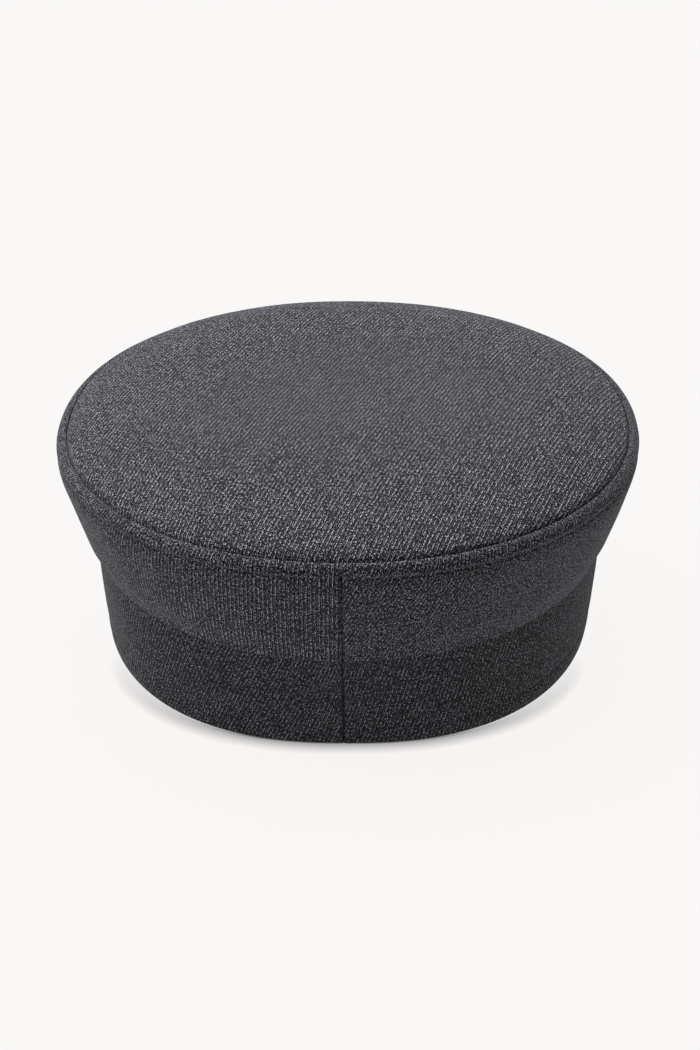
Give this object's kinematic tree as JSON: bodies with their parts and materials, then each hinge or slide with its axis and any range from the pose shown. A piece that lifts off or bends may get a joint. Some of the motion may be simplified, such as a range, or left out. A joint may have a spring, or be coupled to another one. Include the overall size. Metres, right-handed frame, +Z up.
{
  "type": "baker boy cap",
  "caption": "Soft wool twill cap with a puffed oval top, a flared sidewall, a plain band and a short sloping peak, open underneath for the head.",
  "frame": {"origin": "centre of the footprint's box, at the height of the surface that the cap rests on", "axes": "+Z up, -Y towards the tip of the peak, +Y towards the centre back, +X towards the wearer's left; the cap leans back as it rests, with its front raised"},
  "size_m": [0.2038, 0.261, 0.0957],
  "materials": {
    "tip_twill": "matte charcoal heather wool twill",
    "side_twill": "matte charcoal heather wool twill",
    "band_twill": "matte charcoal heather wool twill",
    "peak_twill": "matte charcoal heather wool twill over a stiff board"
  },
  "bodies": {
    "root": {"crown_tip": "tip_twill", "side_panel_left": "side_twill", "side_panel_right": "side_twill", "band": "band_twill", "peak": "peak_twill"}
  },
  "joints": []
}
